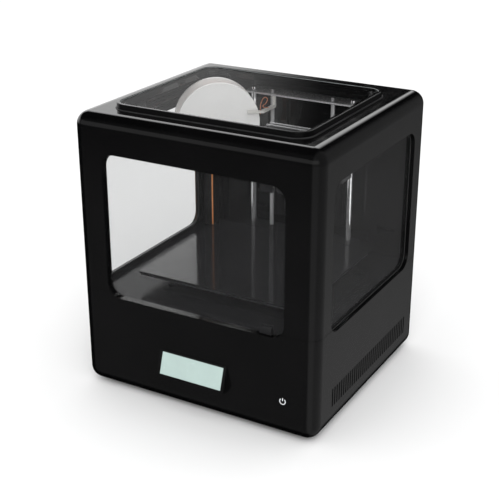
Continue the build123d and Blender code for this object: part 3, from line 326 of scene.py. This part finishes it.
def paint_nodes():
    """Each node takes its record's material, except the bed's beam, the side rods and the lid's pane."""
    for part in frame["record"]["subparts"]:
        paint(part["node"], finish_of[part["material_slot"]])
    paint("bed_carrier", finish_of["plate_glass"])
    paint("y_rods", finish_of["sink_alloy"])
    paint("lid_glass", lid_pane().material)


def soften_bezel():
    """Small round edges on the display's frame."""
    edge = nodes["display_bezel"].modifiers.new("soft_edges", "BEVEL")
    edge.width = 0.7 * MM
    edge.segments = 3
    edge.limit_method = "ANGLE"
    edge.harden_normals = True


paint_nodes()
soften_bezel()


# ---------------------------------------------------------------- mesh helpers

def finish_piece(name, bm, body, material_slot, material=None):
    """Make an object from the bmesh, give it its material and let it ride on a body."""
    mesh = bpy.data.meshes.new(name)
    bmesh.ops.recalc_face_normals(bm, faces=bm.faces)
    bm.to_mesh(mesh)
    bm.free()
    for face in mesh.polygons:
        face.use_smooth = True
    piece = bpy.data.objects.new(name, mesh)
    bpy.context.scene.collection.objects.link(piece)
    mesh.materials.append(material or finish_of[material_slot])
    edge_split = piece.modifiers.new("crisp", "EDGE_SPLIT")
    edge_split.split_angle = CRISP_ANGLE
    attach(piece, body)
    return piece


def axes_of(direction):
    """Two unit vectors square to direction."""
    direction = Vector(direction).normalized()
    helper = Vector((0, 0, 1)) if abs(direction.z) < 0.9 else Vector((1, 0, 0))
    side = direction.cross(helper).normalized()
    return side, direction.cross(side).normalized()


def add_ring(bm, centre, side, up, radius, count):
    """A circle of vertices."""
    ring = []
    for k in range(count):
        angle = 2 * pi * k / count
        ring.append(bm.verts.new(centre + radius * (cos(angle) * side + sin(angle) * up)))
    return ring


def skin_rings(bm, rings, closed=False):
    """Faces from each ring of vertices to the next, with a cap at both ends unless the row is closed."""
    pairs = list(zip(rings, rings[1:]))
    if closed:
        pairs.append((rings[-1], rings[0]))
    count = len(rings[0])
    for low, high in pairs:
        for k in range(count):
            after = (k + 1) % count
            bm.faces.new((low[k], low[after], high[after], high[k]))
    if not closed:
        bm.faces.new(rings[0][::-1])
        bm.faces.new(rings[-1])


def add_lathe(bm, origin, direction, profile, steps=48, closed=False):
    """Turn (radius, distance along direction) points round the axis."""
    origin, direction = Vector(origin), Vector(direction).normalized()
    side, up = axes_of(direction)
    rings = [add_ring(bm, origin + direction * along, side, up, radius, steps) for radius, along in profile]
    skin_rings(bm, rings, closed)


def add_tube(bm, points, radius, sides=12, closed=False):
    """A round bar along points."""
    points = [Vector(p) for p in points]
    count = len(points)
    rings = []
    side = None
    for index, point in enumerate(points):
        before = points[index - 1] if closed or index > 0 else point
        after = points[(index + 1) % count] if closed or index < count - 1 else point
        along = (after - before).normalized()
        if side is None:
            side = axes_of(along)[0]
        side = (side - along * side.dot(along)).normalized()
        rings.append(add_ring(bm, point, side, along.cross(side), radius, sides))
    skin_rings(bm, rings, closed)


def add_block(bm, low, high, bevel=0.4 * MM):
    """A box with rounded edges."""
    low, high = Vector(low), Vector(high)
    made = bmesh.ops.create_cube(bm, size=1.0)
    size = high - low
    for vert in made["verts"]:
        vert.co = Vector([low[i] + (vert.co[i] + 0.5) * size[i] for i in range(3)])
    edges = {edge for vert in made["verts"] for edge in vert.link_edges}
    limit = 0.45 * min(size)
    bmesh.ops.bevel(bm, geom=list(edges), offset=min(bevel, limit), segments=2, affect="EDGES")


def rounded_outline(half_x, half_y, radius, steps=10):
    """Corner points of a rounded rectangle about the origin."""
    points = []
    for quarter, (sx, sy) in enumerate(((1, 1), (-1, 1), (-1, -1), (1, -1))):
        for k in range(steps + 1):
            angle = pi / 2 * (quarter + k / steps)
            points.append((sx * (half_x - radius) + radius * cos(angle),
                           sy * (half_y - radius) + radius * sin(angle)))
    return points


# ---------------------------------------------------------------- detail pieces

def side_beads():
    """The thin seals that run round the side panes."""
    low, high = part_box("right_window")
    lap, gap, stand_off = 6 * MM, 0.5 * MM, 0.4 * MM
    radius, thickness = 24.5 * MM, 0.9 * MM
    middle = (low + high) / 2
    half_y = (high.y - low.y) / 2 - lap - gap
    half_z = (high.z - low.z) / 2 - lap - gap
    for name, side in (("right_window_bead", 1), ("left_window_bead", -1)):
        face = side * (high.x + stand_off)
        path = [(face, middle.y + y, middle.z + z) for y, z in rounded_outline(half_y, half_z, radius)]
        bm = bmesh.new()
        add_tube(bm, path, thickness, 8, closed=True)
        finish_piece(name, bm, "housing", "belt")


def thread_radius(z, angle, top):
    """The screw's radius at a height and angle: a four-start thread that fades out at the top."""
    pitch, lead, outer, root = 2 * MM, 8 * MM, 3.98 * MM, 3.3 * MM
    flank_start, flank_slope, fade = 2.6, 8.0, 0.8 * MM
    phase = ((z - lead * angle / (2 * pi)) / pitch) % 1.0
    rise = min(1.0, max(0.0, flank_start - abs(phase - 0.5) * flank_slope))
    return root + (outer - root) * rise * min(1.0, (top - z) / fade)


def lead_screw(node, joint):
    """A threaded screw with a plain shank in place of the plain CAD cylinder."""
    low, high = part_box(node)
    x, y = joints[joint]["pos_m"][:2]
    shank_length, row_height, sides = 31.5 * MM, 0.4 * MM, 28
    start = low.z + shank_length
    rows = int((high.z - start) / row_height)
    bm = bmesh.new()
    rings = []
    for row in range(rows + 1):
        z = start + (high.z - start) * row / rows
        ring = []
        for k in range(sides):
            angle = 2 * pi * k / sides
            radius = thread_radius(z, angle, high.z)
            ring.append(bm.verts.new((x + radius * cos(angle), y + radius * sin(angle), z)))
        rings.append(ring)
    skin_rings(bm, rings)
    shank, collar, chamfer = 2.5 * MM, 3.3 * MM, 0.3 * MM
    shank_top = shank_length - chamfer
    profile = [
        (shank - chamfer, 0),
        (shank, chamfer),
        (shank, shank_top),
        (collar, shank_top),
        (collar, shank_length + 0.1 * MM),
    ]
    add_lathe(bm, (x, y, low.z), (0, 0, 1), profile, sides)
    screw = finish_piece(node + "_threaded", bm, node, "lead_screw")
    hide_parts(node)


def lead_screws():
    lead_screw("left_lift_screw", "left_screw_turn")
    lead_screw("right_lift_screw", "right_screw_turn")


def wound_filament():
    """Rows of filament side by side, in place of the plain ring."""
    joint = joints["spool_spin"]
    direction = -Vector(joint["axis"]).normalized()
    start, end, inner, outer = 3.15 * MM, 41.85 * MM, 28.2 * MM, 57.9 * MM
    unevenness, groove, arc_steps = 0.35, 0.87 * MM, 6
    rows = int((end - start) / FILAMENT_THICKNESS)
    row_width = (end - start) / rows
    profile = [(inner, start)]
    for row in range(rows):
        begin = start + (end - start) * row / rows
        crest = outer - random.uniform(0.0, unevenness) * MM
        for k in range(arc_steps + 1):
            angle = pi * k / arc_steps
            profile.append((crest - groove * (1 - sin(angle)), begin + row_width * (1 - cos(angle)) / 2))
    profile.append((inner, end))
    bm = bmesh.new()
    add_lathe(bm, joint["pos_m"], direction, profile, 96, closed=True)
    ring = finish_piece("filament_rows", bm, "spool", "filament_copper")
    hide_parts("filament_winding")


def power_icon():
    """The generic standby sign on the push button: an open ring and a bar."""
    low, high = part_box("power_button")
    middle = (low + high) / 2
    inlay, radius, thickness, flatness = 0.05 * MM, 5.2 * MM, 0.6 * MM, 0.2
    face = low.y + inlay
    half_gap, arc_steps = 38, 32
    bm = bmesh.new()
    arc = []
    for k in range(arc_steps + 1):
        angle = radians(90 + half_gap + (360 - 2 * half_gap) * k / arc_steps)
        arc.append((middle.x + radius * cos(angle), face, middle.z + radius * sin(angle)))
    add_tube(bm, arc, thickness, 8)
    bar = [(middle.x, face, middle.z + radius * share) for share in (0.15, 0.45, 0.8, 1.25)]
    add_tube(bm, bar, thickness, 8)
    for vert in bm.verts:
        vert.co.y = face + (vert.co.y - face) * flatness
    finish_piece("power_icon", bm, "power_button", "screen", icon_white().material)


def corner_strip():
    """The copper-coloured strip that runs up the front of the spool's corner post; its material carries a painted
    glow, though the strip is no lamp.
    """
    floor_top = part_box("chamber_floor")[1].z
    post_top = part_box("spool_post")[1].z
    x, half_width, behind_rods = -199.0 * MM, 1.4 * MM, 6.4 * MM
    to_front, to_back, foot_gap, head_gap, bevel = 0.9 * MM, 0.7 * MM, 2 * MM, 4 * MM, 0.5 * MM
    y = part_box("z_rods")[0].y + behind_rods
    low = (x - half_width, y - to_front, floor_top + foot_gap)
    high = (x + half_width, y + to_back, post_top - head_gap)
    bm = bmesh.new()
    add_block(bm, low, high, bevel)
    finish_piece("corner_strip", bm, "housing", "filament_copper", strip_copper().material)


def curve_length(curve):
    """The length in metres of the curve as Blender draws it."""
    bare = curve.copy()
    bare.bevel_depth = 0.0
    probe = bpy.data.objects.new("probe", bare)
    bpy.context.scene.collection.objects.link(probe)
    bpy.context.view_layer.update()
    line = probe.evaluated_get(bpy.context.evaluated_depsgraph_get()).to_mesh()
    ends = [[line.vertices[index].co for index in edge.vertices] for edge in line.edges]
    length = sum((second - first).length for first, second in ends)
    bpy.data.objects.remove(probe)
    return length


def filament_tail():
    """The free end of the filament, a standing loop above the guide bar."""
    route = [
        (77, 16, 4),
        (77, 26, 4),
        (78, 38, 4),
        (84, 49, 5),
        (91, 45, 7),
        (86, 36, 9),
        (79, 33, 10),
        (84, 29, 11),
        (91, 30, 11),
    ]
    joint = joints["spool_spin"]
    out = Vector(joint["axis"]).normalized()
    across = Vector((-out.y, out.x, 0))
    up = Vector((0, 0, 1))
    origin = Vector(joint["pos_m"])
    points = [origin + MM * (u * across + v * up + w * out) for u, v, w in route]
    curve = bpy.data.curves.new("filament_tail", "CURVE")
    curve.dimensions = "3D"
    spline = curve.splines.new("NURBS")
    spline.points.add(len(points) - 1)
    for point, place in zip(spline.points, points):
        point.co = (*place, 1)
    spline.order_u = 3
    spline.use_endpoint_u = True
    spline.resolution_u = 10
    curve.bevel_depth = FILAMENT_THICKNESS / 2
    curve.bevel_resolution = 3
    curve.use_fill_caps = True
    tail = bpy.data.objects.new("filament_tail", curve)
    bpy.context.scene.collection.objects.link(tail)
    curve.materials.append(finish_of["filament_copper"])
    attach(tail, "housing")
    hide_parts("filament_end")
    curve_length(curve)


def level_ring(bm, centre, half_x, half_y, radius, thickness, flatness):
    """A bead round a level rounded rectangle, flattened in z."""
    path = [(centre.x + x, centre.y + y, centre.z) for x, y in rounded_outline(half_x, half_y, radius)]
    add_tube(bm, path, thickness, 10, closed=True)
    for vert in bm.verts:
        vert.co.z = centre.z + (vert.co.z - centre.z) * flatness


def half_size(node):
    """Half of a node's width and depth."""
    low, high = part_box(node)
    return (high.x - low.x) / 2, (high.y - low.y) / 2


def lid_seal():
    """The dark seal under the lid's edge."""
    low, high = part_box("lid_frame")
    half_x, half_y = half_size("lid_frame")
    outset, radius, thickness, rise = 0.6 * MM, 30.6 * MM, 1.6 * MM, 0.2 * MM
    centre = (low + high) / 2
    centre.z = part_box("upper_housing")[1].z + rise
    bm = bmesh.new()
    level_ring(bm, centre, half_x + outset, half_y + outset, radius, thickness, flatness=0.9)
    finish_piece("lid_seal", bm, "housing", "foot_rubber", lid_seal_grey().material)


def lid_pane_edge():
    """A pale bead round the lid's pane: a painted highlight for the glint on the glass's cut edge."""
    low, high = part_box("lid_frame")
    half_x, half_y = half_size("lid_glass")
    inset, radius, thickness, rise = 0.4 * MM, 24.0 * MM, 0.5 * MM, 0.1 * MM
    centre = (low + high) / 2
    centre.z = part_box("lid_glass")[1].z + rise
    bm = bmesh.new()
    level_ring(bm, centre, half_x - inset, half_y - inset, radius, thickness, flatness=0.8)
    finish_piece("lid_pane_edge", bm, "lid", "clear_pane", pane_edge().material)


def carriage_bars():
    """Two bright bars on blocks along the top of the carriage."""
    low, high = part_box("x_carriage")
    middle_y = joints["x_idler_turn"]["pos_m"][1]
    bar_offset, bar_radius, bar_rise, bar_inset = 6 * MM, 1.6 * MM, 1.7 * MM, 2 * MM
    block_inset, block_half, block_sunk, block_rise = 6 * MM, 3 * MM, 0.3 * MM, 1.6 * MM
    bar_z = high.z + bar_rise
    bm = bmesh.new()
    for y in (middle_y - bar_offset, middle_y + bar_offset):
        add_tube(bm, [(low.x + bar_inset, y, bar_z), (high.x - bar_inset, y, bar_z)], bar_radius, 16)
        for x in (low.x + block_inset, high.x - block_inset):
            add_block(bm, (x - block_half, y - block_half, high.z - block_sunk),
                      (x + block_half, y + block_half, high.z + block_rise))
    finish_piece("carriage_bars", bm, "print_head", "ground_rod")


def filament_inlet_tube():
    """The tube with a collar that stands on the extruder, over the nozzle."""
    low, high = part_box("nozzle")
    nozzle = (low + high) / 2
    foot = (nozzle.x, nozzle.y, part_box("extruder_body")[1].z)
    collar, tube, lip, bore, tall = 3.4 * MM, 2.0 * MM, 1.7 * MM, 1.0 * MM, 60 * MM
    profile = [
        (collar, -0.5 * MM),
        (collar, 4 * MM),
        (tube, 5 * MM),
        (tube, tall - 1 * MM),
        (lip, tall),
        (bore, tall),
        (bore, tall - 1 * MM),
    ]
    bm = bmesh.new()
    add_lathe(bm, foot, (0, 0, 1), profile, 28)
    finish_piece("filament_inlet_tube", bm, "print_head", "ground_rod")


def bed_posts():
    """The middle of each of the four posts that the bed is levelled on."""
    low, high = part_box("heated_bed")
    centre_y = (low.y + high.y) / 2
    half_x, to_front, to_back = 118 * MM, 100 * MM, 130 * MM
    return [(x, y) for x in (-half_x, half_x) for y in (centre_y - to_front, centre_y + to_back)]


def bed_springs():
    """Levelling springs round the bed's posts, between the carrier and the heater."""
    carrier_sheet, gap = 3.1 * MM, 0.1 * MM
    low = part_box("bed_carrier")[0].z + carrier_sheet
    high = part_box("heated_bed")[0].z - gap
    wire, radius, turns, steps = 0.6 * MM, 5.6 * MM, 3.5, 84
    bm = bmesh.new()
    for x, y in bed_posts():
        path = []
        for k in range(steps + 1):
            angle = 2 * pi * turns * k / steps
            z = low + wire + (high - low - 2 * wire) * k / steps
            path.append((x + radius * cos(angle), y + radius * sin(angle), z))
        add_tube(bm, path, wire, 8)
    finish_piece("bed_springs", bm, "bed", "screw_steel")


def bed_thumb_nuts():
    """Round nuts with eased rims on the same posts, under the carrier."""
    gap, bore, rim, tall, ease = 0.1 * MM, 2.0 * MM, 7.6 * MM, 6 * MM, 1 * MM
    top_face, bottom_face = 6.5 * MM, 6.8 * MM
    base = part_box("bed_carrier")[0].z - gap
    profile = [
        (bore, 0),
        (top_face, 0),
        (rim, -ease),
        (rim, ease - tall),
        (bottom_face, -tall),
        (bore, -tall),
    ]
    bm = bmesh.new()
    for x, y in bed_posts():
        add_lathe(bm, (x, y, base), (0, 0, 1), profile, 36)
    finish_piece("bed_thumb_nuts", bm, "bed", "moulded_black")


for add_detail in (side_beads, wound_filament, power_icon, corner_strip, bed_springs, bed_thumb_nuts,
                   carriage_bars, filament_inlet_tube, lid_seal, lid_pane_edge, filament_tail, lead_screws):
    add_detail()


# ---------------------------------------------------------------- stage, light and camera

def add_floor():
    """A wide pale floor, just below the feet."""
    bm = bmesh.new()
    half_size_m, cells = 4.0, 24
    bmesh.ops.create_grid(bm, x_segments=cells, y_segments=cells, size=half_size_m)
    mesh = bpy.data.meshes.new("studio_floor")
    bm.to_mesh(mesh)
    bm.free()
    floor = bpy.data.objects.new("studio_floor", mesh)
    bpy.context.scene.collection.objects.link(floor)
    mesh.materials.append(studio_floor_white().material)
    floor.visible_glossy = False
    floor.location.z = -0.2 * MM


def add_square_light(name, position, target, size, power):
    """A soft light that isn't mirrored."""
    light = bpy.data.lights.new(name, "AREA")
    light.shape = "RECTANGLE"
    light.size, light.size_y = size, size
    light.energy = power
    lamp = bpy.data.objects.new(name, light)
    bpy.context.scene.collection.objects.link(lamp)
    lamp.location = position
    direction = Vector(target) - Vector(position)
    lamp.rotation_euler = direction.to_track_quat("-Z", "Y").to_euler()
    lamp.visible_glossy = False


class World:
    """A white room for diffuse light, and a shaped glow for reflections."""

    def __init__(self):
        world = bpy.data.worlds.new("studio")
        bpy.context.scene.world = world
        world.use_nodes = True
        self.tree = world.node_tree
        coords = self.tree.nodes.new("ShaderNodeTexCoord")
        split = self.tree.nodes.new("ShaderNodeSeparateXYZ")
        self.tree.links.new(coords.outputs["Generated"], split.inputs[0])
        self.axis = {name: split.outputs[name] for name in "XYZ"}

    def put(self, value, socket):
        """Link an output to the socket, or set a number on it."""
        if isinstance(value, float):
            socket.default_value = value
        else:
            self.tree.links.new(value, socket)

    def ramp(self, axis, start, end, low=0.0, high=1.0):
        """Goes from low to high as the direction's share along the axis goes from start to end."""
        ramp = self.tree.nodes.new("ShaderNodeMapRange")
        ramp.interpolation_type = "SMOOTHSTEP"
        for key, value in (("From Min", start), ("From Max", end), ("To Min", low), ("To Max", high)):
            ramp.inputs[key].default_value = value
        self.tree.links.new(self.axis[axis], ramp.inputs["Value"])
        return ramp.outputs["Result"]

    def combine(self, operation, first, second):
        math = self.tree.nodes.new("ShaderNodeMath")
        math.operation = operation
        self.put(first, math.inputs[0])
        self.put(second, math.inputs[1])
        return math.outputs[0]

    def add(self, first, second):
        return self.combine("ADD", first, second)

    def times(self, first, second):
        return self.combine("MULTIPLY", first, second)

    def choose(self, when_off, when_on, switch):
        mix = self.tree.nodes.new("ShaderNodeMix")
        mix.data_type = "FLOAT"
        for name, value in (("A", when_off), ("B", when_on), ("Factor", switch)):
            self.put(value, mix.inputs[name])
        return mix.outputs["Result"]

    def finish(self, outside, inside, diffuse):
        """outside is mirrored by the casing, and inside by what stands behind a pane."""
        paths = self.tree.nodes.new("ShaderNodeLightPath")
        behind_pane = self.combine("GREATER_THAN", paths.outputs["Transparent Depth"], 0.5)
        glossy = self.choose(outside, inside, behind_pane)
        background = self.tree.nodes["Background"]
        background.inputs["Color"].default_value = (1, 1, 1, 1)
        strength = self.choose(diffuse, glossy, paths.outputs["Is Glossy Ray"])
        self.tree.links.new(strength, background.inputs["Strength"])


def set_world():
    """Dark surroundings with soft-edged glows: a wall on the left, the right, the front, a strip behind."""
    world = World()
    ramp, add, times = world.ramp, world.add, world.times
    wall = times(ramp("X", -0.41, -0.52), ramp("Y", -0.45, 0.1))
    at_horizon = times(ramp("Z", 0.335, 0.30), ramp("Z", -0.12, -0.02))
    wall_outside = times(times(wall, at_horizon), 1.3)
    right = times(ramp("X", 0.1, 0.4), ramp("Z", -0.15, -0.55, 0.15, 0.28))
    above_front = times(ramp("Z", 0.50, 0.42), ramp("Z", -0.02, 0.08, 0.0, 0.34))
    below_front = ramp("Z", -0.28, -0.38, 0.05, 0.12)
    front = times(ramp("Y", -0.3, -0.6), add(above_front, below_front))
    strip_height = times(ramp("Z", 0.66, 0.58), ramp("Z", 0.315, 0.34, 0.0, 2.0))
    strip_place = times(ramp("X", -0.05, -0.25), ramp("Y", 0.4, 0.55))
    rear_strip = times(strip_height, strip_place)
    everywhere = add(add(right, front), 0.004)
    sides = add(ramp("X", -0.45, -0.7), ramp("X", 0.45, 0.7, 0.0, 1.7))
    low_sides = times(sides, ramp("Z", -0.15, -0.3, 0.0, 1.3))
    wall_inside = add(times(wall, 1.65), low_sides)
    outside = add(add(everywhere, wall_outside), rear_strip)
    world.finish(outside, add(everywhere, wall_inside), 1.13)


def set_camera():
    """A long lens, nearly thirty degrees round to the right and twenty-three up."""
    low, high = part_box("upper_housing")
    width = 0.46
    azimuth, elevation = radians(29.54), radians(22.88)
    aim_right, aim_up, distance, rise = -0.0209, -0.0185, 4.2706, 0.005
    back = Vector((sin(azimuth) * cos(elevation), -cos(azimuth) * cos(elevation), sin(elevation)))
    right = Vector((cos(azimuth), sin(azimuth), 0))
    up = back.cross(right)
    middle = Vector((0, (low.y + high.y) / 2, 0.5 * width + rise))
    target = middle + width * (aim_right * right + aim_up * up)
    camera = bpy.data.cameras.new("camera")
    camera.lens = 78.57
    camera.sensor_width = 36.0
    camera.clip_end = 50.0
    viewer = bpy.data.objects.new("camera", camera)
    bpy.context.scene.collection.objects.link(viewer)
    turned = Matrix((right, up, back)).transposed().to_4x4()
    viewer.matrix_world = Matrix.Translation(target + back * distance * width) @ turned
    bpy.context.scene.camera = viewer


add_floor()
set_world()
set_camera()
add_square_light("fill_front", (0.9, -1.7, 1.9), (-0.1, 0.05, 0.42), 1.0, 14)
bpy.context.scene.view_settings.view_transform = "Standard"
